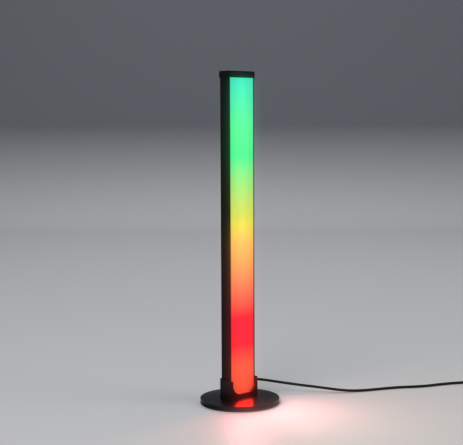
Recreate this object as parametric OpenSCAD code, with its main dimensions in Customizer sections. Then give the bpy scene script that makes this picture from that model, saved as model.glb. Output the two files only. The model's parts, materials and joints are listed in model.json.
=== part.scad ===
// Upright light bar: a slim glowing bar that stands in a socket on a round weighted base.
// +Z is up, the glowing face looks along -Y, and the origin is under the middle of the base.

/* [Base] */
// Diameter of the two base plates
base_d = 100; // [90:1:120]
// Thickness of the steel plate
plate_t = 2.8; // [2.2:0.1:4]
// Height of the cover's rim above the plate
rim_h = 3.8; // [2.6:0.1:4.6]
// Rise of the cover from its rim to its middle
dome_h = 2.3; // [2:0.1:4]
// Depth of the groove round the edge, between plate and cover
groove = 0.9; // [0.4:0.1:1.2]
// Thickness of the foam ring underneath
foot_t = 1; // [0.8:0.1:1.5]

/* [Bar] */
// Width of the bar
bar_w = 42.4; // [41:0.2:50]
// Depth of the bar
bar_d = 18; // [17:0.5:22]
// Height of the top of the bar above the table
bar_top = 416.7; // [412:0.1:500]
// How far the bar's middle stands behind the middle of the base
bar_y = 3.5; // [0:0.5:8]
// Wall of the housing at the sides
wall = 2; // [1.4:0.1:2.2]
// Wall of the housing at the back
back_wall = 1.6; // [1.4:0.1:2]
// Radius of the housing's rear corners
rear_r = 3; // [2:0.5:4]
// Radius of the housing's front corners
front_r = 1; // [0.8:0.1:1]

/* [Caps] */
// Height of the top cap above the housing
cap_h = 8.2; // [5:0.1:12]
// How far the top cap stands out past the housing
cap_lip = 1.2; // [0.6:0.1:1.5]
// Height of the bottom cap below the housing
foot_cap_h = 2.6; // [2.4:0.1:4]
// How far each cap's plug reaches into the housing
plug_h = 7; // [6:0.5:9]

/* [Socket] */
// Wall of the socket
socket_wall = 1.2; // [1.2:0.1:2]
// Gap between the socket and the bar
socket_gap = 0.3; // [0.3:0.05:0.5]
// Thickness of the socket's front, where the window is
socket_front = 4; // [2.5:0.1:4.5]
// Height of the socket
socket_h = 23.9; // [22:0.1:30]
// Width of the window in the socket's front
window_w = 39.4; // [36:0.2:40]
// Radius of the window's bottom corners
window_r = 12; // [6:0.5:12.5]
// Height of the front's lower edge, from the socket's underside to the window
sill_h = 6.1; // [5:0.1:8]

/* [Lights] */
// Number of light chips
led_count = 24; // [16:1:24]
// Distance between light chips
led_pitch = 16; // [12:0.5:16]
// Width of the light board
board_w = 14; // [10:1:14]

/* [Button] */
// Diameter of the mode button
button_d = 7; // [6:0.5:8]
// Height of the mode button above the bar's lower end
button_up = 46; // [40:1:48]

/* [Cable] */
// Diameter of the cable
cable_d = 3.5; // [3:0.1:3.8]

/* [Hidden] */
$fn = 96;
// A hair of overlap, so that no cut or joint leaves a skin
e = 0.01;

// Levels of the base, from the table up
plate_z = 0.2;
plate_top = plate_z + plate_t;
rim_z = plate_top + rim_h;
dome_z = rim_z + dome_h;
base_r = base_d / 2;
dome_r = (base_r * base_r + dome_h * dome_h) / (2 * dome_h);
cover_wall = 1.7;
plate_edge = 0.4;
seat_z = dome_z - 1.2;
weight_r = base_r - 6;
weight_t = 1.7;
foot_out_r = base_r - 4;
foot_in_r = base_r - 14;

// The bar's section, and its levels
side_x = bar_w / 2;
front_y = bar_y - bar_d / 2;
rear_y = bar_y + bar_d / 2;
inner_y = rear_y - back_wall;
socket_floor = 2.2;
pad_t = 1;
bar_z = seat_z + socket_floor + pad_t;
body_z = bar_z + foot_cap_h;
body_top = bar_top - cap_h;
body_h = body_top - body_z;

// The diffuser and the ledges that hold it
lens_t = 1.6;
lens_gap = 0.05;
leg_t = 1.2;
leg_y = front_y + 5.2;
ledge_w = 1.8;
ledge_t = 1;

// The socket
socket_x = side_x + socket_gap + socket_wall;
socket_y0 = front_y - socket_gap - socket_front;
socket_y1 = rear_y + socket_gap + socket_wall + 0.5;
sill_z = seat_z + sill_h;
rim_top = seat_z + socket_h;
window_flare = 1.6;

// The top cap's stepped edge, and the pocket in each cap's plug
cap_step = 0.8;
cap_inset = 0.6;
pocket_w = 18;

// The light board stands on tape against the housing's back wall
tape_t = 0.5;
board_t = 1.2;
board_y = inner_y - tape_t - board_t;
led_s = 5;
led_t = 1.6;
led_z = (body_z + body_top) / 2 - (led_count - 1) * led_pitch / 2;
board_z = led_z - 4;
board_h = (led_count - 1) * led_pitch + 9;

// The control board stands beside the light board, on two posts
control_x = 13.4;
control_w = 10;
control_h = 50;
control_z = body_z + plug_h + 2;
control_y = front_y + 10;
control_t = 1.2;
post_r = 1.9;
post_z = [control_z + 4, control_z + control_h - 4];
button_z = bar_z + button_up;
button_travel = 0.5;
button_proud = 0.8;
button_flange = 0.8;
button_edge = 0.4;
switch_w = 6;
switch_t = 1.8;
plunger_d = 3.2;
plunger_t = 2.5;

// Screws
screw_r = 1.5;
screw_head_r = 3;
small_r = 1.1;
small_head_r = 2.2;
boss_r = 2.8;
pilot_r = 0.9;
socket_screw_at = [for (x = [-14, 14], y = [bar_y - 4, bar_y + 5]) [x, y]];
cover_screw_at = [for (a = [90, 210, 330]) [40 * cos(a), 40 * sin(a)]];
top_screw_z = body_top - plug_h / 2;
bottom_screw_z = body_z + plug_h / 2;

// The cable leaves the back of the bar and runs to a coil on the table
exit_x = 6;
exit_z = 19;
lead_hole_d = 5;
relief_l = 16;
relief_r = 3.9;
relief_collar = 2.4;
exit_y = rear_y + relief_l + 0.3;
cable_r = cable_d / 2;
notch_w = 9.4;
coil_at = [300, -165];
coil_mid_r = 21;
coil_out_r = coil_mid_r + 2 * cable_d;
coil_in_r = coil_mid_r - 2 * cable_d;
coil_h = 2 * cable_d;
tie_w = 6;
tie_t = 1.4;
tie_under = 0.6;
route = [
    [6, exit_y, 19], [6.5, 35, 19], [10, 44, 19], [18, 50, 18.7], [28, 50, 18.3], [40, 44, 17.6],
    [52, 34, 16.7], [64, 21, 15.2], [77, 6, 12.8], [93, -13, 10], [106, -27, 8], [118, -40, 6],
    [130, -52, 4], [144, -61, 2.4], [162, -70, 1.8], [184, -79, 1.8], [206, -89, 1.8],
    [223, -100, 1.8], [241, -109, 1.8], [259, -115, 1.8], [276, -122, 1.8], [290, -129, 1.8],
    [302, -135, 1.8], [313, -142, 1.8]
];
tail = [
    [300, -191.2, 5.3], [297, -191.2, 5.1], [293, -191.2, 4.5], [289, -191.2, 4],
    [285, -191.2, 4]
];

// The plug at the end of the cable, lying on the table and pointing along -X
plug_at = [285, -191.2, 4];
neck_l = 9;
grip_l = 24;
grip_w = 15.6;
grip_t = 8;
shell_l = 12;
shell_in = 4;
shell_w = 12;
shell_t = 4.5;

// A rounded rectangle, with its own radius at the front and at the back
module section(w, y0, y1, rf, rb) {
    union() {
        translate([-w / 2 + rf, y0]) square([w - 2 * rf, rf + e]);
        translate([-w / 2, y0 + rf]) square([w, y1 - y0 - rf - rb]);
        translate([-w / 2 + rb, y1 - rb - e]) square([w - 2 * rb, rb + e]);
        for (s = [-1, 1]) {
            translate([s * (w / 2 - rf), y0 + rf]) circle(rf);
            translate([s * (w / 2 - rb), y1 - rb]) circle(rb);
        }
    }
}

// A countersunk screw that points up, with its flat head at z = 0 and a cross slot
module screw(r, head_r, length) {
    difference() {
        union() {
            cylinder(r1 = head_r, r2 = r, h = head_r - r);
            cylinder(r = r, h = length);
        }
        for (a = [0, 90]) {
            rotate([0, 0, a]) translate([-head_r * 0.6, -0.3, -e]) cube([head_r * 1.2, 0.6, 0.8]);
        }
    }
}

// The space that a countersunk screw takes
module screw_hole(r, head_r, length) {
    translate([0, 0, -1]) cylinder(r = head_r, h = 1 + e);
    cylinder(r1 = head_r, r2 = r, h = head_r - r);
    cylinder(r = r, h = length);
}

// Places what follows at the screws that come through the housing's back wall, pointing to the front
module back_screws(z) {
    for (x = [-15, 15]) {
        translate([x, rear_y, z]) rotate([90, 0, 0]) children();
    }
}

// The solid under the cover's dome, with its top surface lowered by d
module dome(r, z0, d) {
    intersection() {
        translate([0, 0, z0]) cylinder(r = r, h = dome_z - z0 + 1);
        translate([0, 0, dome_z - d - dome_r]) sphere(r = dome_r, $fn = 240);
    }
}

// The upper half of the groove round the base, cut from the cover's lower edge
module groove_ring() {
    translate([0, 0, plate_top - e]) difference() {
        cylinder(r = base_r + 1, h = groove + e);
        cylinder(r1 = base_r - groove, r2 = base_r, h = groove + e);
    }
}

module base_plate() {
    color("#1b1b1d") difference() {
        union() {
            translate([0, 0, plate_z]) cylinder(r1 = base_r - plate_edge, r2 = base_r, h = plate_edge);
            translate([0, 0, plate_z + plate_edge]) cylinder(r = base_r, h = plate_t - groove - plate_edge);
            translate([0, 0, plate_top - groove]) cylinder(r1 = base_r, r2 = base_r - groove, h = groove);
        }
        translate([0, 0, -e]) cylinder(r = foot_out_r, h = foot_t + e);
        for (p = socket_screw_at) {
            translate([p[0], p[1], foot_t]) screw_hole(screw_r, screw_head_r, 5);
        }
        for (p = cover_screw_at) {
            translate([p[0], p[1], foot_t]) screw_hole(small_r, small_head_r, 5);
        }
    }
}

module base_cover() {
    color("#141416") difference() {
        union() {
            difference() {
                dome(base_r, plate_top, 0);
                dome(weight_r + 0.5, plate_top - 1, cover_wall);
            }
            intersection() {
                dome(base_r - 2, plate_top, 0.5);
                for (p = cover_screw_at) {
                    translate([p[0], p[1], plate_top]) cylinder(r = boss_r, h = dome_h + rim_h);
                }
            }
        }
        groove_ring();
        translate([0, 0, seat_z]) linear_extrude(3) socket_section();
        for (p = socket_screw_at) {
            translate([p[0], p[1], plate_top]) cylinder(r = screw_r, h = 8);
        }
        for (p = cover_screw_at) {
            translate([p[0], p[1], plate_top - e]) cylinder(r = small_r, h = 1.8);
        }
    }
}

module base_weight() {
    color("#5a5d60") difference() {
        translate([0, 0, plate_top]) cylinder(r = weight_r, h = weight_t);
        for (p = socket_screw_at) {
            translate([p[0], p[1], plate_top - e]) cylinder(r = screw_r + 0.3, h = 4);
        }
        for (p = cover_screw_at) {
            translate([p[0], p[1], plate_top - e]) cylinder(r = boss_r + 0.4, h = 4);
        }
    }
}

module foot_ring() {
    color("#2a2a2a") difference() {
        cylinder(r = foot_out_r, h = foot_t);
        translate([0, 0, -e]) cylinder(r = foot_in_r, h = foot_t + 2 * e);
    }
}

module cover_screws() {
    color("#a8acb0") for (p = cover_screw_at) {
        translate([p[0], p[1], foot_t]) screw(small_r, small_head_r, 3.6);
    }
}

module socket_screws() {
    color("#a8acb0") for (p = socket_screw_at) {
        translate([p[0], p[1], foot_t]) screw(screw_r, screw_head_r, seat_z + socket_floor - 0.4 - foot_t);
    }
}

module socket_section() {
    section(2 * socket_x, socket_y0, socket_y1, 2.2, 4.2);
}

// The opening in the socket's front: flat sill, round bottom corners, flared top corners
module window_outline() {
    half = window_w / 2;
    translate([-half, sill_z + window_r]) square([window_w, socket_h]);
    translate([-half + window_r, sill_z]) square([window_w - 2 * window_r, window_r + 1]);
    for (s = [-1, 1]) {
        translate([s * (half - window_r), sill_z + window_r]) circle(window_r);
        difference() {
            translate([s * (half + window_flare / 2), rim_top]) {
                square([window_flare, 2 * window_flare], center = true);
            }
            translate([s * (half + window_flare), rim_top - window_flare]) circle(window_flare);
        }
    }
}

module socket_shell() {
    color("#161618") difference() {
        translate([0, 0, seat_z]) linear_extrude(socket_h) socket_section();
        translate([0, 0, seat_z + socket_floor]) linear_extrude(socket_h) {
            section(bar_w + 2 * socket_gap, front_y - socket_gap, rear_y + socket_gap, 1.2, 3.2);
        }
        translate([0, front_y, 0]) rotate([90, 0, 0]) linear_extrude(socket_front + 2) {
            window_outline();
        }
        translate([exit_x, rear_y - 1, exit_z]) rotate([-90, 0, 0]) cylinder(d = notch_w, h = 6);
        translate([exit_x - notch_w / 2, rear_y - 1, exit_z]) cube([notch_w, 6, socket_h]);
        for (p = socket_screw_at) {
            translate([p[0], p[1], seat_z - e]) cylinder(r = screw_r, h = socket_floor - 0.4 + e);
        }
    }
}

module socket_pad() {
    color("#3a3a3c") translate([0, 0, seat_z + socket_floor]) linear_extrude(pad_t) {
        section(bar_w - 3, front_y + 1.5, rear_y - 1.5, 1, 2);
    }
}

module rear_housing() {
    color("#17171a") difference() {
        union() {
            difference() {
                translate([0, 0, body_z]) linear_extrude(body_h) {
                    section(bar_w, front_y, rear_y, front_r, rear_r);
                }
                translate([0, 0, body_z - 1]) linear_extrude(body_h + 2) {
                    section(bar_w - 2 * wall, front_y - 2, inner_y, 0.2, rear_r - 1);
                }
            }
            for (s = [-1, 1]) {
                translate([s * (side_x - (wall + ledge_w) / 2), leg_y + ledge_t / 2, body_z + body_h / 2]) {
                    cube([ledge_w + wall, ledge_t, body_h - 2 * plug_h - 2], center = true);
                }
            }
            for (z = post_z) {
                translate([control_x, inner_y + e, z]) rotate([90, 0, 0]) {
                    cylinder(r = post_r, h = inner_y - control_y - control_t + e);
                }
            }
        }
        for (z = post_z) {
            translate([control_x, inner_y - 1, z]) rotate([90, 0, 0]) cylinder(r = pilot_r, h = 8);
        }
        back_screws(top_screw_z) screw_hole(small_r, small_head_r, 6);
        back_screws(bottom_screw_z) screw_hole(small_r, small_head_r, 6);
        translate([control_x, inner_y - 1, button_z]) rotate([-90, 0, 0]) {
            cylinder(d = button_d + 0.6, h = 5);
        }
        translate([exit_x, inner_y - 1, exit_z]) rotate([-90, 0, 0]) cylinder(d = lead_hole_d, h = 5);
    }
}

module diffuser() {
    x = side_x - wall - lens_gap;
    color("#f4f4ee") translate([0, 0, body_z]) {
        translate([-x, front_y, 0]) cube([2 * x, lens_t, body_h]);
        for (s = [-1, 1]) {
            translate([s * (x - leg_t / 2), (front_y + leg_y) / 2, body_h / 2]) {
                cube([leg_t, leg_y - front_y, body_h - 2 * plug_h - 2], center = true);
            }
        }
    }
}

// The part of a cap that plugs into the housing, from z0 up
module cap_plug(z0) {
    translate([0, 0, z0]) linear_extrude(plug_h) {
        section(bar_w - 2 * wall - 0.2, front_y + lens_t + 0.1, inner_y - 0.1, 1, rear_r - 1);
    }
}

// The top cap's outline, with its sides at lip past the housing
module cap_section(lip) {
    section(bar_w + 2 * lip, front_y - lip, rear_y + lip, lip + 1.8, lip + 2.8);
}

module top_cap() {
    color("#141416") difference() {
        union() {
            translate([0, 0, body_top]) linear_extrude(cap_h - cap_step) cap_section(cap_lip);
            translate([0, 0, bar_top - cap_step]) linear_extrude(cap_step) cap_section(cap_lip - cap_inset);
            difference() {
                cap_plug(body_top - plug_h);
                translate([-pocket_w / 2, front_y + 4, body_top - plug_h - 1]) cube([pocket_w, 8, plug_h]);
            }
        }
        back_screws(top_screw_z) screw_hole(small_r, small_head_r, 8);
    }
}

module bottom_cap() {
    color("#141416") difference() {
        union() {
            translate([0, 0, bar_z]) linear_extrude(foot_cap_h) {
                section(bar_w, front_y, rear_y, front_r, rear_r);
            }
            cap_plug(body_z);
        }
        translate([-pocket_w / 2, front_y + 4, body_z + 1]) cube([pocket_w, 12, plug_h]);
        translate([exit_x, inner_y - 4, exit_z]) rotate([-90, 0, 0]) cylinder(d = 8, h = 6);
        back_screws(bottom_screw_z) screw_hole(small_r, small_head_r, 8);
    }
}

module top_cap_screws() {
    color("#2b2c2f") back_screws(top_screw_z) screw(small_r, small_head_r, 8);
}

module bottom_cap_screws() {
    color("#2b2c2f") back_screws(bottom_screw_z) screw(small_r, small_head_r, 8);
}

module led_board() {
    color("#e8ebe6") translate([-board_w / 2, board_y, board_z]) cube([board_w, board_t, board_h]);
}

module board_tape() {
    color("#c9c9c4") translate([-board_w / 2 + 1, board_y + board_t, board_z + 1]) {
        cube([board_w - 2, tape_t, board_h - 2]);
    }
}

// Places what follows at each light chip
module at_leds() {
    for (i = [0:led_count - 1]) {
        translate([0, board_y, led_z + i * led_pitch]) children();
    }
}

module led_chips() {
    color("#fff6dc") at_leds() {
        difference() {
            translate([-led_s / 2, -led_t, -led_s / 2]) cube([led_s, led_t, led_s]);
            translate([0, -led_t + 0.4, 0]) rotate([90, 0, 0]) cylinder(r = 1.9, h = 1, $fn = 32);
        }
    }
}

module led_capacitors() {
    color("#b79a6a") at_leds() {
        translate([4, -1, 3.6]) cube([1.2, 1, 2]);
    }
}

module control_board() {
    color("#1f5a3a") difference() {
        translate([control_x - control_w / 2, control_y, control_z]) cube([control_w, control_t, control_h]);
        for (z = post_z) {
            translate([control_x, control_y - 1, z]) rotate([-90, 0, 0]) cylinder(r = pilot_r, h = 4);
        }
    }
}

module control_chip() {
    color("#202022") translate([control_x, control_y, control_z + 12]) {
        translate([-2, -1.5, 0]) cube([4, 1.5, 5]);
        for (i = [0:3], s = [-1, 1]) {
            translate([s * 2.5 - 0.5, -0.4, 0.4 + i * 1.27]) cube([1, 0.4, 0.4]);
        }
    }
}

module storage_capacitor() {
    color("#2c2f55") translate([control_x, control_y - 2.5, control_z + 21]) cylinder(r = 2.5, h = 9);
}

module control_board_screws() {
    color("#a8acb0") for (z = post_z) {
        translate([control_x, control_y - 0.8, z]) rotate([-90, 0, 0]) {
            cylinder(r = 1.6, h = 0.8);
            cylinder(r = pilot_r, h = 4.4);
        }
    }
}

// A push switch on the back of the control board; its plunger points at the button
module mode_switch() {
    color("#3b3b3d") translate([control_x, control_y + control_t, button_z]) {
        translate([-switch_w / 2, 0, -switch_w / 2]) cube([switch_w, switch_t, switch_w]);
        rotate([-90, 0, 0]) cylinder(d = plunger_d, h = plunger_t);
    }
}

// A cap that shows through the housing's back, a flange that keeps it in, and a stem to the switch
module mode_button() {
    stem_y = control_y + control_t + plunger_t + button_travel + 0.15;
    cap_y = inner_y - 0.3;
    cap_t = back_wall + button_proud + 0.3 - button_edge;
    color("#1e1e20") translate([control_x, 0, button_z]) {
        translate([0, stem_y, 0]) rotate([-90, 0, 0]) cylinder(d = 3, h = inner_y - 0.2 - stem_y);
        translate([0, inner_y - 0.2 - button_flange, 0]) rotate([-90, 0, 0]) {
            cylinder(d = button_d + 1.6, h = button_flange);
        }
        translate([0, cap_y, 0]) rotate([-90, 0, 0]) {
            cylinder(d = button_d, h = cap_t);
            translate([0, 0, cap_t]) {
                cylinder(d1 = button_d, d2 = button_d - 2 * button_edge, h = button_edge);
            }
        }
    }
}

// A straight wire of radius r from a to b along Z
module lead(x, y, z0, z1, r) {
    translate([x, y, z0]) cylinder(r = r, h = z1 - z0, $fn = 24);
}

module supply_leads() {
    color("#a02020") lead(exit_x + 4.6, inner_y - 1.4, exit_z + 3, control_z + 6, 0.6);
    color("#202020") lead(exit_x + 2.9, inner_y - 1.4, exit_z + 3, control_z + 6, 0.6);
}

module strip_leads() {
    color("#d8d8d2") for (i = [0:2]) {
        translate([board_w / 2 + e, board_y + board_t / 2, board_z + 3 + 2.4 * i]) rotate([0, 90, 0]) {
            cylinder(r = 0.5, h = 1.3, $fn = 24);
        }
    }
}

// The rubber sleeve that guards the cable where it leaves the back of the bar
module strain_relief() {
    color("#111113") translate([exit_x, 0, exit_z]) rotate([-90, 0, 0]) difference() {
        union() {
            translate([0, 0, inner_y - 1.2]) cylinder(r = 3.6, h = 1.2);
            translate([0, 0, inner_y]) cylinder(d = lead_hole_d, h = back_wall);
            translate([0, 0, rear_y]) cylinder(r = relief_r, h = relief_collar);
            translate([0, 0, rear_y + relief_collar]) {
                cylinder(r1 = 3.2, r2 = 2.3, h = relief_l - relief_collar);
            }
            for (i = [0:3]) {
                translate([0, 0, rear_y + relief_collar + 2 + 3 * i]) cylinder(r = 3.3 - 0.2 * i, h = 1.4);
            }
        }
        translate([0, 0, inner_y - 3]) cylinder(r = 1.1, h = relief_l + 1);
    }
}

// A point of the smooth curve between b and c, at t from 0 to 1
function bend(a, b, c, d, t) =
    0.5 * (2 * b + (c - a) * t + (2 * a - 5 * b + 4 * c - d) * t * t + (3 * b - a - 3 * c + d) * t * t * t);
// Points along a smooth curve through p, n steps to a stretch
function through(p, n) = [
    for (i = [0:len(p) - 2], k = [0:n - 1])
        bend(p[max(i - 1, 0)], p[i], p[i + 1], p[min(i + 2, len(p) - 1)], k / n),
    p[len(p) - 1]
];
function unit(v) = v / norm(v);
function heading(p, i) = unit(p[min(i + 1, len(p) - 1)] - p[max(i - 1, 0)]);

// A round tube of radius r along the points p
module tube(p, r, sides) {
    rings = [
        for (i = [0:len(p) - 1])
            let (
                f = heading(p, i),
                u = unit(cross([0, 0, 1], f)),
                v = cross(f, u)
            )
            for (k = [0:sides - 1])
                p[i] + r * (cos(360 * k / sides) * u + sin(360 * k / sides) * v)
    ];
    last = (len(p) - 1) * sides;
    polyhedron(
        points = rings,
        faces = concat(
            [[for (k = [0:sides - 1]) k]],
            [[for (k = [sides - 1:-1:0]) last + k]],
            [for (i = [0:len(p) - 2], k = [0:sides - 1]) let (a = i * sides, m = (k + 1) % sides)
                [a + k, a + sides + k, a + sides + m]],
            [for (i = [0:len(p) - 2], k = [0:sides - 1]) let (a = i * sides, m = (k + 1) % sides)
                [a + k, a + sides + m, a + m]]
        ),
        convexity = 8
    );
}

module power_cable() {
    color("#101012") tube(through(route, 2), cable_r, 8);
}

// The strap's outline round the coil's turns, at the coil's far side
module tie_box(grow) {
    translate([coil_at[0] + coil_in_r - grow, coil_at[1] - tie_w / 2, 0]) {
        cube([coil_out_r - coil_in_r + 2 * grow, tie_w, coil_h + grow]);
    }
}

module coil_ring(low, high) {
    translate([coil_at[0], coil_at[1], 0]) rotate_extrude() {
        translate([coil_in_r, low]) square([coil_out_r - coil_in_r, high - low]);
    }
}

module power_cable_coil() {
    color("#101012") difference() {
        coil_ring(0, coil_h);
        translate([coil_at[0] + coil_in_r - 2, coil_at[1] - tie_w / 2, -e]) {
            cube([coil_out_r - coil_in_r + 4, tie_w, tie_under + e]);
        }
    }
}

module cable_tie() {
    color("#1c1c1f") difference() {
        tie_box(tie_t);
        coil_ring(tie_under, coil_h);
    }
}

module power_cable_tail() {
    color("#101012") tube(tail, cable_r, 8);
}

module usb_plug_grip() {
    color("#121214") translate(plug_at) rotate([0, -90, 0]) difference() {
        union() {
            cylinder(r1 = 2.4, r2 = 3.6, h = neck_l);
            translate([-grip_t / 2, 0, neck_l]) rotate([0, 90, 0]) linear_extrude(grip_t) {
                translate([-grip_l, -grip_w / 2 + 2]) square([grip_l, grip_w - 4]);
                translate([-grip_l, -grip_w / 2]) square([grip_l - 2, grip_w]);
                for (s = [-1, 1]) {
                    translate([-2, s * (grip_w / 2 - 2)]) circle(2);
                }
            }
        }
        translate([-shell_t / 2, -shell_w / 2, neck_l + grip_l - shell_in]) {
            cube([shell_t, shell_w, shell_in + 2]);
        }
    }
}

module usb_plug_shell() {
    wall_t = 0.3;
    length = shell_l + shell_in;
    color("#c9ccd0") translate(plug_at) rotate([0, -90, 0]) translate([0, 0, neck_l + grip_l - shell_in]) {
        difference() {
            translate([-shell_t / 2, -shell_w / 2, 0]) cube([shell_t, shell_w, length]);
            translate([-shell_t / 2 + wall_t, -shell_w / 2 + wall_t, 1]) {
                cube([shell_t - 2 * wall_t, shell_w - 2 * wall_t, length]);
            }
            for (y = [-2.6, 2.6]) {
                translate([0, y - 1.1, 9]) cube([4, 2.2, 2.4]);
            }
        }
    }
}

module usb_plug_tongue() {
    color("#e9e9e6") translate(plug_at) rotate([0, -90, 0]) translate([0, 0, neck_l + grip_l - 3]) {
        translate([-shell_t / 2 + 0.3, -shell_w / 2 + 0.4, 0]) cube([1.9, shell_w - 0.8, shell_l + 2.4]);
    }
}

module usb_contacts() {
    color("#d9b24a") translate(plug_at) rotate([0, -90, 0]) translate([0, 0, neck_l + grip_l]) {
        for (y = [-3.5, -1, 1, 3.5]) {
            translate([-shell_t / 2 + 2.2, y - 0.5, 0]) cube([0.15, 1, shell_l - 2]);
        }
    }
}

base_plate();
base_cover();
base_weight();
foot_ring();
cover_screws();
socket_screws();
socket_shell();
socket_pad();
rear_housing();
diffuser();
top_cap();
bottom_cap();
top_cap_screws();
bottom_cap_screws();
led_board();
board_tape();
led_chips();
led_capacitors();
control_board();
control_chip();
storage_capacitor();
control_board_screws();
mode_switch();
mode_button();
supply_leads();
strip_leads();
strain_relief();
power_cable();
power_cable_coil();
cable_tie();
power_cable_tail();
usb_plug_grip();
usb_plug_shell();
usb_plug_tongue();
usb_contacts();
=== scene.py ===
"""The upright light bar in a plain studio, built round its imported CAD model.

Lengths are in metres unless a name ends in _MM or a comment says millimetres. Places are in the
model's own frame.
"""
import json
import math

import bmesh
import bpy
from mathutils import Matrix, Vector

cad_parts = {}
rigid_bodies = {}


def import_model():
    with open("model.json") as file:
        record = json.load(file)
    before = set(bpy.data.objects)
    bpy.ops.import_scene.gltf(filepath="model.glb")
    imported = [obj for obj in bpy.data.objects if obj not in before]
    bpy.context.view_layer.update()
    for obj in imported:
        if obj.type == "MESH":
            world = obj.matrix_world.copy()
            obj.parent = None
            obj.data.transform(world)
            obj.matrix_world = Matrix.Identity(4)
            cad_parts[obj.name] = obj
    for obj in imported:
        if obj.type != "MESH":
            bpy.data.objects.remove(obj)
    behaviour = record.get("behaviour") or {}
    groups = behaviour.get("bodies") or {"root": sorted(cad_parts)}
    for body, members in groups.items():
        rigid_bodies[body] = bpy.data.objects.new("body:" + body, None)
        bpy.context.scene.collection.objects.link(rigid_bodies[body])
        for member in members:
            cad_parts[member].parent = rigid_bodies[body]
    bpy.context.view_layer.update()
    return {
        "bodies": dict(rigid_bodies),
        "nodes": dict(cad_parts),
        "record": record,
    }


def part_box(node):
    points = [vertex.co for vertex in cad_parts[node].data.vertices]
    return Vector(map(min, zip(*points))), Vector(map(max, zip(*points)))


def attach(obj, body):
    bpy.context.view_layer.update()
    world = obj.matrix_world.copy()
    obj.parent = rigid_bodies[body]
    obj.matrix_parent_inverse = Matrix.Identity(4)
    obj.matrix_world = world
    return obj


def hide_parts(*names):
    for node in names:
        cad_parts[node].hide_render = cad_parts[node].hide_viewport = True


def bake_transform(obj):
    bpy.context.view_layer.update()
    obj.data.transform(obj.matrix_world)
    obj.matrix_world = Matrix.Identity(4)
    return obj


MM = 0.001

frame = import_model()
nodes = frame["nodes"]
scene = bpy.context.scene
scene.view_settings.view_transform = "Standard"


# ---------------------------------------------------------------- camera

CAMERA_TURN = math.radians(-41.95)
CAMERA_RANGE = 1.380
CAMERA_HEIGHT = 0.351
CAMERA_AIM = math.radians(0.40)
CAMERA_DOWN = math.radians(5.05)
CAMERA_ROLL = math.radians(0.25)
CAMERA_LENS_MM = 86.15


def make_camera():
    """The camera stands to the left of the glowing face and looks slightly down at the bar."""
    data = bpy.data.cameras.new("camera")
    data.lens = CAMERA_LENS_MM
    data.sensor_width = 36
    camera = bpy.data.objects.new("camera", data)
    scene.collection.objects.link(camera)
    heading = CAMERA_TURN + CAMERA_AIM
    forward = Vector((
        -math.sin(heading) * math.cos(CAMERA_DOWN),
        math.cos(heading) * math.cos(CAMERA_DOWN),
        -math.sin(CAMERA_DOWN),
    ))
    aim = forward.to_track_quat("-Z", "Y").to_matrix().to_4x4()
    place = Vector((
        CAMERA_RANGE * math.sin(CAMERA_TURN),
        -CAMERA_RANGE * math.cos(CAMERA_TURN),
        CAMERA_HEIGHT,
    ))
    camera.matrix_world = Matrix.Translation(place) @ aim @ Matrix.Rotation(-CAMERA_ROLL, 4, "Z")
    scene.camera = camera


make_camera()


# ---------------------------------------------------------------- mesh tools

def new_object(name, mesh, body=None):
    """Puts a mesh in the scene as a smooth-shaded piece, which rides on a body if one is named."""
    for face in mesh.polygons:
        face.use_smooth = True
    piece = bpy.data.objects.new(name, mesh)
    scene.collection.objects.link(piece)
    if body:
        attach(piece, body)
    return piece


def mesh_from(name, bm):
    """Turns a bmesh into a mesh, with all its faces turned outward."""
    bmesh.ops.recalc_face_normals(bm, faces=bm.faces)
    mesh = bpy.data.meshes.new(name)
    bm.to_mesh(mesh)
    bm.free()
    return mesh


def even_normals(piece):
    """Shades flats flat and rounded edges round."""
    modifier = piece.modifiers.new("normals", "WEIGHTED_NORMAL")
    modifier.weight = 100
    modifier.keep_sharp = True


BODY_OF = {n: body for body, names in frame["record"]["behaviour"]["bodies"].items() for n in names}
SLOT_OF = {part["node"]: part["material_slot"] for part in frame["record"]["subparts"]}
new_pieces = {}


def stand_for(piece, *hidden):
    """Shows a piece in place of the CAD nodes named, and gives it the first one's material slot."""
    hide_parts(*hidden)
    new_pieces[piece] = SLOT_OF[hidden[0]]


def rounded(node, radius, segments=3, corner=math.radians(32)):
    """A copy of a CAD node with its edges rounded, which stands for the node."""
    bm = bmesh.new()
    bm.from_mesh(nodes[node].data)
    bmesh.ops.remove_doubles(bm, verts=bm.verts, dist=2e-6)
    bmesh.ops.dissolve_limit(bm, angle_limit=math.radians(0.4), verts=bm.verts, edges=bm.edges)
    sharp = [edge for edge in bm.edges if edge.is_manifold and edge.calc_face_angle() > corner]
    bmesh.ops.bevel(
        bm, geom=sharp, offset=radius, segments=segments, profile=0.5, affect="EDGES",
        clamp_overlap=True, miter_outer="ARC",
    )
    bmesh.ops.remove_doubles(bm, verts=bm.verts, dist=2e-6)
    bmesh.ops.dissolve_degenerate(bm, edges=bm.edges, dist=2e-6)
    mesh = mesh_from(node + "_finish", bm)
    if "custom_normal" in mesh.attributes:
        mesh.attributes.remove(mesh.attributes["custom_normal"])
    piece = new_object(node + "_finish", mesh, BODY_OF[node])
    even_normals(piece)
    stand_for(piece, node)
    return piece


def through(points, steps):
    """Points along a smooth curve through the given ones, some steps to a stretch."""
    line = []
    last = len(points) - 1
    for i in range(last):
        a, b, c, d = (points[max(0, min(last, i + k))] for k in (-1, 0, 1, 2))
        for k in range(steps):
            t = k / steps
            line.append(0.5 * (
                2 * b + (c - a) * t + (2 * a - 5 * b + 4 * c - d) * t * t
                + (3 * b - a - 3 * c + d) * t * t * t
            ))
    return line + [points[last]]


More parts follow.
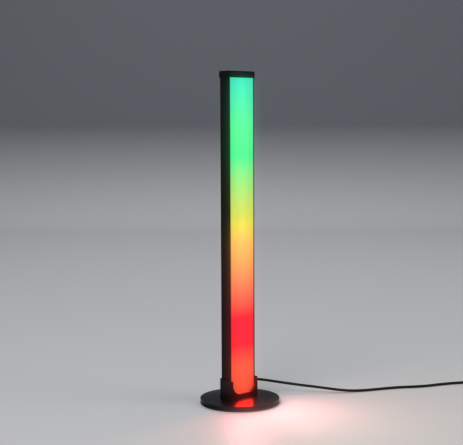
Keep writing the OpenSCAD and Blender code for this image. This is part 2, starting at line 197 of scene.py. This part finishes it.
def skin(name, rings):
    """A closed mesh through rings of points, with a flat face at each end."""
    bm = bmesh.new()
    rings = [[bm.verts.new(point) for point in ring] for ring in rings]
    sides = len(rings[0])
    for low, high in zip(rings, rings[1:]):
        for k in range(sides):
            bm.faces.new((low[k], low[(k + 1) % sides], high[(k + 1) % sides], high[k]))
    bm.faces.new(rings[0])
    bm.faces.new(list(reversed(rings[-1])))
    return mesh_from(name, bm)


def tube(name, line, radius, sides):
    """A closed round tube along a line."""
    rings = []
    side = None
    for i, point in enumerate(line):
        ahead = (line[min(i + 1, len(line) - 1)] - line[max(i - 1, 0)]).normalized()
        side = ahead.cross(Vector((0, 0, 1))) if side is None else side - ahead * side.dot(ahead)
        side.normalize()
        up = side.cross(ahead)
        angles = [2 * math.pi * k / sides for k in range(sides)]
        rings.append([point + radius * (math.cos(a) * side + math.sin(a) * up) for a in angles])
    return skin(name, rings)


def pillow(half_wide, half_thick, squareness, sides=48):
    """A closed outline between an ellipse, at squareness 2, and a box, at high squareness."""
    outline = []
    for k in range(sides):
        c, s = math.cos(2 * math.pi * k / sides), math.sin(2 * math.pi * k / sides)
        outline.append((
            half_wide * math.copysign(abs(c) ** (2 / squareness), c),
            half_thick * math.copysign(abs(s) ** (2 / squareness), s),
        ))
    return outline


# ---------------------------------------------------------------- the cable

CABLE_RADIUS = 1.75 * MM
CABLE_EXIT = Vector((6, 28.8, 19)) * MM
ROUTE_MM = [
    (6, 28.8, 19), (6.5, 35, 19), (10, 44, 19), (18, 50, 18.7), (28, 50, 18.3), (40, 44, 17.6),
    (52, 34, 16.7), (64, 21, 15.2), (77, 6, 12.8), (93, -13, 10), (106, -27, 8), (118, -40, 6),
    (130, -52, 4), (144, -61, 2.4), (162, -70, 1.8), (184, -79, 1.8), (206, -89, 1.8),
    (223, -100, 1.8), (241, -109, 1.8), (259, -115, 1.8), (276, -122, 1.8), (290, -129, 1.8),
    (302, -135, 1.8),
]
TAIL_MM = [
    (297, -191.2, 5.1), (293, -191.2, 4.5), (289, -191.2, 4), (285, -191.2, 4), (279, -191.2, 4),
]
COIL_MIDDLE_MM = (300, -165)
COIL_TURNS = 7.417
COIL_START = 60
COIL_WIDE_MM = 26.25
COIL_NARROW_MM = 15.75
COIL_LOW_MM = 1.75
COIL_HIGH_MM = 5.25
COIL_STEPS = 24


def ramp(t, t0, t1, a, b):
    """a before t0, b after t1, and a smooth change between them."""
    k = min(1, max(0, (t - t0) / (t1 - t0)))
    return a + (b - a) * k * k * (3 - 2 * k)


def coil_line():
    """Three turns inward on the table, a step up, and three turns outward on top of them."""
    points = []
    count = round(COIL_TURNS * COIL_STEPS)
    for i in range(count + 1):
        t = COIL_TURNS * i / count
        inward = min(1, max(0, (t - 0.35) / 3))
        outward = min(1, max(0, (t - 4.07) / 3))
        radius = COIL_WIDE_MM + (COIL_NARROW_MM - COIL_WIDE_MM) * (inward - outward)
        height = ramp(t, 3.5, 3.9, COIL_LOW_MM, COIL_HIGH_MM)
        angle = math.radians(COIL_START - 360 * t)
        across = COIL_MIDDLE_MM[0] + radius * math.cos(angle)
        along = COIL_MIDDLE_MM[1] + radius * math.sin(angle)
        points.append(Vector((across, along, height)) * MM)
    return points


def make_cable():
    """The power cable, from the strain relief through the coil to the plug, as one tube."""
    lead, tail = ([Vector(p) * MM for p in points] for points in (ROUTE_MM, TAIL_MM))
    line = through(lead + coil_line() + tail, 4)
    cable = new_object("power_cable_jacket", tube("power_cable_jacket", line, CABLE_RADIUS, 16))
    stand_for(cable, "power_cable", "power_cable_coil", "power_cable_tail")
    return cable, line


# Distance behind the bar's back, and radius there: a collar, four ribs and a rounded end
RELIEF_MM = [
    (-0.2, 3.5), (0.1, 3.75), (0.4, 3.9), (1.9, 3.9), (2.2, 3.8), (2.4, 3.5), (2.7, 3.1), (3.9, 3.05),
]
RIB_COUNT = 4
RIB_STEP_MM = 3
RELIEF_END_MM = [(15.6, 2.35), (16.2, 2.3), (16.6, 2.1), (16.8, 1.8)]


def make_relief():
    """The ribbed rubber sleeve that guards the cable where it leaves the bar."""
    profile = list(RELIEF_MM)
    for i in range(RIB_COUNT):
        start = 4.2 + RIB_STEP_MM * i
        rib, waist = 3.35 - 0.2 * i, 2.8 - 0.15 * i
        profile += [(start, rib - 0.15), (start + 0.2, rib)]
        profile += [(start + 1.2, rib), (start + 1.4, rib - 0.15)]
        profile += [(start + 1.6, waist), (start + RIB_STEP_MM - 0.2, waist - 0.05)]
    profile = [point for point in profile if point[0] < RELIEF_END_MM[0][0]] + RELIEF_END_MM
    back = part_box("rear_housing")[1].y
    middle = Vector((CABLE_EXIT.x, back, CABLE_EXIT.z))
    rings = [
        [middle + Vector((x, away, z)) * MM for x, z in pillow(radius, radius, 2, 40)]
        for away, radius in profile
    ]
    piece = new_object("strain_relief_sleeve", skin("strain_relief_sleeve", rings), "bar")
    stand_for(piece, "strain_relief")


PLUG_MM = Vector((285, -191.2, 4))
# Distance along the plug from the cable's end, half width, half thickness and squareness
GRIP_MM = [
    (0, 2.2, 2.2, 2), (0.3, 2.4, 2.4, 2), (2, 2.5, 2.5, 2), (7.6, 3.2, 3.2, 2), (8.6, 3.8, 3.5, 2.2),
    (9.4, 5.2, 3.75, 2.8), (10.4, 6.8, 3.9, 3.6), (11.8, 7.5, 4, 4.6), (13.5, 7.8, 4, 5.5),
]
GRIP_END_MM = [(31.4, 7.8, 4, 5.5), (32.2, 7.65, 3.9, 5.5), (32.7, 7.35, 3.65, 5.5), (33, 6.9, 3.3, 5.5)]
GROOVES = 6
GROOVE_STEP_MM = 2.2


def make_grip():
    """The plug's moulded grip: a round neck that widens to a soft block with finger grooves at its sides."""
    stations = list(GRIP_MM)
    for i in range(GROOVES):
        start = 15.4 + GROOVE_STEP_MM * i
        stations += [(start, 7.8, 4, 5.5), (start + 0.3, 7.35, 3.9, 5.5), (start + 0.9, 7.35, 3.9, 5.5)]
        stations += [(start + 1.2, 7.8, 4, 5.5)]
    rings = [
        [(PLUG_MM + Vector((-away, y, z))) * MM for y, z in pillow(wide, thick, square)]
        for away, wide, thick, square in stations + GRIP_END_MM
    ]
    piece = new_object("usb_plug_grip_moulding", skin("usb_plug_grip_moulding", rings), "base")
    even_normals(piece)
    stand_for(piece, "usb_plug_grip")
    return piece


def make_lead():
    """The whole lead: the cable as one fixed tube, the sleeve riding on the bar, the grip on the base, and
    the tie and the plug's shell.
    """
    cable, line = make_cable()
    make_relief()
    grip = make_grip()
    tie = rounded("cable_tie", 0.45 * MM)
    shell = rounded("usb_plug_shell", 0.12 * MM)
    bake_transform(cable)


make_lead()


# ---------------------------------------------------------------- hard parts

# How far each part's edges are rounded
EDGES_MM = {
    "base_plate": 0.15, "base_cover": 0.2, "socket_shell": 0.25, "rear_housing": 0.2, "diffuser": 0.25,
    "top_cap": 0.35, "bottom_cap": 0.2, "mode_button": 0.15, "foot_ring": 0.25, "socket_pad": 0.2,
    "top_cap_screws": 0.06, "bottom_cap_screws": 0.06, "cover_screws": 0.06, "socket_screws": 0.08,
    "led_board": 0.1, "control_board": 0.1, "control_chip": 0.08, "storage_capacitor": 0.4,
    "mode_switch": 0.15, "led_chips": 0.12, "led_capacitors": 0.1, "control_board_screws": 0.15,
}
for name, radius in EDGES_MM.items():
    rounded(name, radius * MM)


# ---------------------------------------------------------------- materials

def linear(color):
    """A screen colour, from 0 to 1, as the linear colour that a shader takes."""
    return [c / 12.92 if c <= 0.04045 else ((c + 0.055) / 1.055) ** 2.4 for c in color]


class Finish:
    """A material and short ways to give its shader detail."""

    def __init__(self, name, color, roughness, **sockets):
        self.material = bpy.data.materials.new(name)
        self.material.use_nodes = True
        self.tree = self.material.node_tree
        self.shader = self.tree.nodes["Principled BSDF"]
        self.shader.inputs["Base Color"].default_value = (*color, 1)
        self.shader.inputs["Roughness"].default_value = roughness
        for socket, value in sockets.items():
            self.shader.inputs[socket.replace("_", " ")].default_value = value
        self.place = self.add("ShaderNodeTexCoord").outputs["Object"]

    def add(self, kind, **settings):
        node = self.tree.nodes.new(kind)
        for key, value in settings.items():
            setattr(node, key, value)
        return node

    def link(self, output, target):
        self.tree.links.new(output, target)

    def noise(self, scale, detail=3, stretch=(1, 1, 1)):
        """Noise of that many grains to the metre, from 0 to 1."""
        mapping = self.add("ShaderNodeMapping")
        mapping.inputs["Scale"].default_value = stretch
        self.link(self.place, mapping.inputs["Vector"])
        noise = self.add("ShaderNodeTexNoise")
        noise.inputs["Scale"].default_value = scale
        noise.inputs["Detail"].default_value = detail
        self.link(mapping.outputs["Vector"], noise.inputs["Vector"])
        return noise.outputs["Fac"]

    def spread(self, value, low, high, out_low, out_high):
        """Maps a value from one range to another, and holds it inside that."""
        node = self.add("ShaderNodeMapRange")
        limits = {"From Min": low, "From Max": high, "To Min": out_low, "To Max": out_high}
        for socket, number in limits.items():
            node.inputs[socket].default_value = number
        self.link(value, node.inputs["Value"])
        return node.outputs["Result"]

    def rough(self, value, low, high):
        """Roughness that follows a value between low and high."""
        self.link(self.spread(value, 0.3, 0.7, low, high), self.shader.inputs["Roughness"])
        return self

    def mottle(self, value, color_a, color_b):
        """Colour that follows a value from one to the other."""
        mix = self.add("ShaderNodeMix", data_type="RGBA")
        self.link(self.spread(value, 0.3, 0.7, 0, 1), mix.inputs["Factor"])
        mix.inputs["A"].default_value = (*color_a, 1)
        mix.inputs["B"].default_value = (*color_b, 1)
        self.link(mix.outputs["Result"], self.shader.inputs["Base Color"])
        return self

    def bump(self, value, depth, strength=1.0):
        """Relief that follows a value, depth metres deep."""
        bump = self.add("ShaderNodeBump")
        bump.inputs["Strength"].default_value = strength
        bump.inputs["Distance"].default_value = depth
        self.link(value, bump.inputs["Height"])
        if self.shader.inputs["Normal"].is_linked:
            self.link(self.shader.inputs["Normal"].links[0].from_socket, bump.inputs["Normal"])
        self.link(bump.outputs["Normal"], self.shader.inputs["Normal"])
        return self


def moulded(name, color, low, high, grain=2600, depth=0.00002, lighter=1.35, specular=0.5):
    """Moulded plastic: fine spark-eroded grain, and a sheen that varies over the surface."""
    finish = Finish(name, color, high, Specular_IOR_Level=specular)
    finish.rough(finish.noise(60, 4), low, high)
    finish.mottle(finish.noise(35, 5), color, [c * lighter for c in color])
    finish.bump(finish.noise(grain, 2), depth, 0.6)
    return finish


def sawn_metal(name, color, low, high, stretch=(1, 1, 40)):
    """Bright metal with fine tool marks along one way."""
    finish = Finish(name, color, high, Metallic=1.0)
    marks = finish.noise(260, 4, stretch)
    finish.rough(marks, low, high)
    finish.mottle(finish.noise(90, 3), [c * 0.86 for c in color], color)
    finish.bump(marks, 0.000006, 0.5)
    return finish


# Screen colours that the lit face passes through, each after its height above the table in millimetres
GLOW = [
    (50, (1.0, 0.32, 0.2)),
    (75, (1.0, 0.0, 0.15)),
    (110, (1.0, 0.0, 0.15)),
    (145, (1.0, 0.45, 0.3)),
    (205, (1.0, 0.75, 0.35)),
    (230, (0.95, 0.92, 0.32)),
    (275, (0.67, 0.95, 0.5)),
    (310, (0.3, 0.98, 0.57)),
    (350, (0.35, 0.98, 0.6)),
    (405, (0.25, 0.95, 0.77)),
]
GLOW_STRENGTH = 0.62
# Share of the glow's colours painted into the diffuser's base colour: painted light, not the plastic's own
# colour
PAINTED_GLOW_SHARE = 0.35


def opal():
    """The lit diffuser: GLOW's colours up its height, brighter up its middle, with faint streaks. Its base
    colour is also painted with a share of the same glow colours, which is painted light over the milky
    plastic.
    """
    low, high = GLOW[0][0] * MM, GLOW[-1][0] * MM
    finish = Finish(
        "opal_lit", (1, 1, 1), 0.38, Emission_Strength=GLOW_STRENGTH, Specular_IOR_Level=0.2,
    )
    split = finish.add("ShaderNodeSeparateXYZ")
    finish.link(finish.place, split.inputs["Vector"])
    glow = finish.add("ShaderNodeValToRGB")
    stops = glow.color_ramp.elements
    while len(stops) < len(GLOW):
        stops.new(0.5)
    for stop, (height, color) in zip(stops, GLOW):
        stop.position = (height * MM - low) / (high - low)
        stop.color = (*linear(color), 1)
    finish.link(finish.spread(split.outputs["Z"], low, high, 0, 1), glow.inputs["Fac"])
    across = finish.add("ShaderNodeMath", operation="ABSOLUTE")
    finish.link(split.outputs["X"], across.inputs[0])
    band = finish.spread(across.outputs["Value"], 0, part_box("diffuser")[1].x, 1.0, 0.87)
    streaks = finish.spread(finish.noise(450, 3, (1, 1, 0.04)), 0.3, 0.7, 0.97, 1.02)
    light = finish.add("ShaderNodeMath", operation="MULTIPLY")
    finish.link(band, light.inputs[0])
    finish.link(streaks, light.inputs[1])
    lit = finish.add("ShaderNodeMix", data_type="RGBA", blend_type="MULTIPLY")
    lit.inputs["Factor"].default_value = 1.0
    finish.link(glow.outputs["Color"], lit.inputs["A"])
    finish.link(light.outputs["Value"], lit.inputs["B"])
    # Painted light: the base colour carries a share of the glow's colours up the height, over a dark grey
    painted_glow_mix = finish.add("ShaderNodeMix", data_type="RGBA")
    painted_glow_mix.inputs["Factor"].default_value = PAINTED_GLOW_SHARE
    painted_glow_mix.inputs["A"].default_value = (0.03, 0.03, 0.03, 1)
    finish.link(glow.outputs["Color"], painted_glow_mix.inputs["B"])
    finish.link(painted_glow_mix.outputs["Result"], finish.shader.inputs["Base Color"])
    finish.link(lit.outputs["Result"], finish.shader.inputs["Emission Color"])
    finish.rough(finish.noise(120, 3), 0.34, 0.44)
    finish.bump(finish.noise(1500, 2), 0.00001, 0.4)
    return finish


def black_gloss():
    """The base's lacquered cover: nearly mirror-smooth, with faint polishing haze."""
    finish = Finish("black_gloss", (0.002, 0.002, 0.0022), 0.26, Specular_IOR_Level=0.15)
    finish.rough(finish.noise(45, 4), 0.22, 0.30)
    finish.bump(finish.noise(900, 3), 0.000004, 0.5)
    return finish


def make_finishes():
    """One finish for each of the record's material slots."""
    cast = Finish("cast_iron", (0.09, 0.09, 0.095), 0.7, Metallic=0.9)
    cast.rough(cast.noise(300, 4), 0.55, 0.8)
    cast.bump(cast.noise(700, 5), 0.0001, 0.8)
    board = Finish("solder_mask_white", (0.78, 0.80, 0.76), 0.35)
    board.mottle(board.noise(400, 2, (1, 1, 0.1)), (0.74, 0.76, 0.72), (0.84, 0.85, 0.82))
    green = Finish("solder_mask_green", (0.02, 0.13, 0.05), 0.3)
    green.mottle(green.noise(900, 1, (1, 1, 0.15)), (0.015, 0.10, 0.04), (0.04, 0.20, 0.08))
    strap = Finish("strap_weave", (0.02, 0.02, 0.022), 0.75)
    strap.bump(strap.noise(2200, 1, (1, 3, 1)), 0.0002, 0.9)
    strap.mottle(strap.noise(1800, 1, (3, 1, 1)), (0.012, 0.012, 0.013), (0.045, 0.045, 0.05))
    return {
        "base_steel": moulded(
            "powder_coat", (0.002, 0.002, 0.0022), 0.34, 0.46, 3200, 0.00003, specular=0.12,
        ),
        "base_gloss": black_gloss(),
        "ballast_iron": cast,
        "foot_foam": moulded("foam_rubber", (0.018, 0.018, 0.018), 0.75, 0.9, 1800, 0.0002),
        "screw_steel": sawn_metal("zinc_plate", (0.55, 0.56, 0.58), 0.22, 0.38),
        "screw_black": sawn_metal("black_oxide", (0.035, 0.035, 0.04), 0.35, 0.5),
        "socket_plastic": moulded("socket_plastic", (0.0024, 0.0024, 0.0026), 0.3, 0.42, specular=0.14),
        "pad_rubber": moulded("pad_rubber", (0.03, 0.03, 0.03), 0.7, 0.85, 1500, 0.0001),
        "housing_plastic": moulded(
            "housing_plastic", (0.0022, 0.0022, 0.0024), 0.38, 0.52, specular=0.12,
        ),
        "cap_plastic": moulded("cap_plastic", (0.0022, 0.0022, 0.0024), 0.34, 0.46, specular=0.12),
        "diffuser_opal": opal(),
        "board_white": board,
        "board_green": green,
        "tape_grey": moulded("foam_tape", (0.42, 0.42, 0.40), 0.7, 0.85, 1500, 0.0001, 1.1),
        "chip_resin": moulded("chip_resin", (0.90, 0.85, 0.62), 0.1, 0.2, 900, 0.00001, 1.05),
        "chip_black": moulded("chip_black", (0.018, 0.018, 0.019), 0.45, 0.6),
        "capacitor_tan": moulded("capacitor_tan", (0.42, 0.28, 0.14), 0.4, 0.55, 2600, 0.00001, 1.15),
        "can_blue": moulded("can_blue", (0.02, 0.03, 0.10), 0.15, 0.25, 900, 0.00001),
        "button_plastic": moulded("button_plastic", (0.012, 0.012, 0.013), 0.25, 0.38),
        "wire_jacket": moulded("wire_jacket", (0.28, 0.015, 0.015), 0.35, 0.5, 2600, 0.00001, 1.2),
        "cable_jacket": moulded(
            "cable_jacket", (0.004, 0.004, 0.0045), 0.4, 0.55, 1800, 0.00003, specular=0.25,
        ),
        "tie_strap": strap,
        "plug_plastic": moulded("plug_plastic", (0.010, 0.010, 0.011), 0.4, 0.55),
        "plug_steel": sawn_metal("nickel_plate", (0.68, 0.68, 0.69), 0.12, 0.24, (1, 30, 1)),
        "plug_insulator": moulded("plug_insulator", (0.72, 0.72, 0.70), 0.3, 0.4, 2600, 0.00001, 1.05),
        "contact_gold": sawn_metal("contact_gold", (0.85, 0.62, 0.25), 0.15, 0.28),
    }


def paint_everything():
    """Gives each CAD node and each new piece the finish of its slot."""
    finishes = make_finishes()
    for name, node in nodes.items():
        for place in node.material_slots:
            place.material = finishes[SLOT_OF[name]].material
    for piece, slot in new_pieces.items():
        piece.data.materials.clear()
        piece.data.materials.append(finishes[slot].material)


paint_everything()


# ---------------------------------------------------------------- studio

FLOOR_GREY = (0.80, 0.80, 0.81)
WALL_GREY = (0.20, 0.21, 0.24)
WALL_AWAY = 2.3
SWEEP_RADIUS = 0.35
STUDIO_HALF = 4.0
# Linear colours of the light that the glowing face throws, from the bottom zone to the top one
SPILL = [
    (1, 0.015, 0.008), (1, 0.01, 0.02), (1, 0.02, 0.03), (1, 0.30, 0.10), (1, 0.45, 0.12),
    (0.8, 0.8, 0.15), (0.15, 1, 0.25), (0.07, 1, 0.35),
]
SPILL_POWER = 0.05
BLOOM = {"Threshold": 0.6, "Strength": 1.8, "Size": 0.05, "Saturation": 1.0}


def make_studio():
    """A pale floor that sweeps up to a plain backdrop behind the object, as the camera sees it."""
    profile = [(-STUDIO_HALF, 0), (WALL_AWAY, 0)]
    for k in range(1, 17):
        a = math.radians(90 * k / 16)
        profile.append((WALL_AWAY + SWEEP_RADIUS * math.sin(a), SWEEP_RADIUS * (1 - math.cos(a))))
    profile.append((WALL_AWAY + SWEEP_RADIUS, STUDIO_HALF))
    bm = bmesh.new()
    rows = [[bm.verts.new((x, y, z)) for y, z in profile] for x in (-STUDIO_HALF, STUDIO_HALF)]
    for i in range(len(profile) - 1):
        bm.faces.new((rows[0][i], rows[1][i], rows[1][i + 1], rows[0][i + 1]))
    mesh = bpy.data.meshes.new("studio")
    bm.to_mesh(mesh)
    bm.free()
    for face in mesh.polygons:
        face.use_smooth = True
    studio = bpy.data.objects.new("studio", mesh)
    scene.collection.objects.link(studio)
    studio.rotation_euler.z = CAMERA_TURN
    studio.location.z = -0.00002
    finish = Finish("studio_paper", FLOOR_GREY, 0.6)
    split = finish.add("ShaderNodeSeparateXYZ")
    finish.link(finish.place, split.inputs["Vector"])
    mix = finish.add("ShaderNodeMix", data_type="RGBA")
    finish.link(finish.spread(split.outputs["Z"], 0.0, SWEEP_RADIUS, 0, 1), mix.inputs["Factor"])
    mix.inputs["A"].default_value = (*FLOOR_GREY, 1)
    mix.inputs["B"].default_value = (*WALL_GREY, 1)
    finish.link(mix.outputs["Result"], finish.shader.inputs["Base Color"])
    mesh.materials.append(finish.material)


def make_light(name, place, aim, size, power, color=(1, 1, 1)):
    """A soft square light at a place, in metres, that points at aim."""
    data = bpy.data.lights.new(name, "AREA")
    data.size = size
    data.energy = power
    data.color = color
    light = bpy.data.objects.new(name, data)
    scene.collection.objects.link(light)
    light.location = place
    light.rotation_euler = (Vector(aim) - Vector(place)).to_track_quat("-Z", "Y").to_euler()


def make_world(strength, color):
    """Even light from all round."""
    world = bpy.data.worlds.new("world")
    world.use_nodes = True
    background = world.node_tree.nodes["Background"]
    background.inputs["Color"].default_value = (*color, 1)
    background.inputs["Strength"].default_value = strength
    scene.world = world


def make_spill():
    """Lights in zones just in front of the glowing face, which throw its colours on what is near."""
    low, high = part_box("diffuser")
    step = (high.z - low.z) / len(SPILL)
    for i, color in enumerate(SPILL):
        data = bpy.data.lights.new(f"spill_{i}", "AREA")
        data.shape = "RECTANGLE"
        data.size = (high.x - low.x) * 0.98
        data.size_y = step
        data.energy = SPILL_POWER
        data.color = color
        light = bpy.data.objects.new(f"spill_{i}", data)
        light.visible_camera = False
        scene.collection.objects.link(light)
        light.location = (0, low.y - 0.2 * MM, low.z + (i + 0.5) * step)
        light.rotation_euler.x = math.radians(-90)
        light.parent = frame["bodies"]["bar"]


def make_bloom():
    """The soft halo that a lens puts round a bright lamp."""
    scene.use_nodes = True
    tree = scene.node_tree
    tree.nodes.clear()
    layers = tree.nodes.new("CompositorNodeRLayers")
    glare = tree.nodes.new("CompositorNodeGlare")
    glare.glare_type = "BLOOM"
    glare.quality = "HIGH"
    for socket, value in BLOOM.items():
        glare.inputs[socket].default_value = value
    result = tree.nodes.new("CompositorNodeComposite")
    tree.links.new(layers.outputs["Image"], glare.inputs["Image"])
    tree.links.new(glare.outputs["Image"], result.inputs["Image"])


make_studio()
make_spill()
make_light("key", (-1.6, -0.6, 1.9), (0, 0, 0.15), 1.2, 22)
make_light("fill", (1.2, -1.8, 1.4), (0, 0, 0.2), 1.4, 10)
make_light("back", (1.3, 1.5, 2.4), (0, 0, 0.2), 1.6, 16)
make_world(0.22, (0.92, 0.95, 1.0))
make_bloom()
